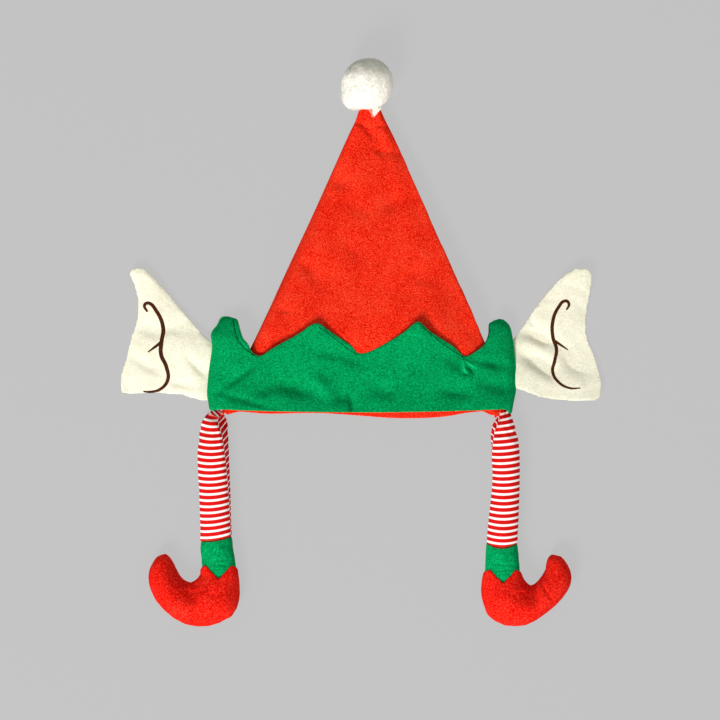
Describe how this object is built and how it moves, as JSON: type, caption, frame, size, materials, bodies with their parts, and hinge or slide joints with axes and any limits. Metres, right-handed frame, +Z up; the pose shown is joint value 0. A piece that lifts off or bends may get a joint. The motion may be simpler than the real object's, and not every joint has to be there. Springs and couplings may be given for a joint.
{
  "type": "elf hat with ears and stuffed legs",
  "caption": "Elf costume hat laid flat: red fleece cone with a pompom, green pointed felt cuff, padded cream ears at the sides and stuffed striped legs with curl-toed shoes below.",
  "frame": {"origin": "on the surface that the hat lies on, under the middle of its box", "axes": "+Y from the mouth towards the pompom, +X towards the hat's right side as seen from above, +Z up from the surface"},
  "size_m": [0.482, 0.5671, 0.0503],
  "materials": {
    "red_fleece": "short napped fleece, matte",
    "green_felt": "felt, matte",
    "cream_fleece": "soft fleece with a printed brown line, matte",
    "striped_knit": "fine knit in red and white stripes",
    "white_pile": "long white pile"
  },
  "bodies": {
    "root": {"crown": "red_fleece", "cuff": "green_felt", "pompom": "white_pile", "ear_left": "cream_fleece", "ear_right": "cream_fleece", "leg_left": "striped_knit", "leg_right": "striped_knit", "ankle_left": "green_felt", "ankle_right": "green_felt", "shoe_left": "red_fleece", "shoe_right": "red_fleece"}
  },
  "joints": []
}
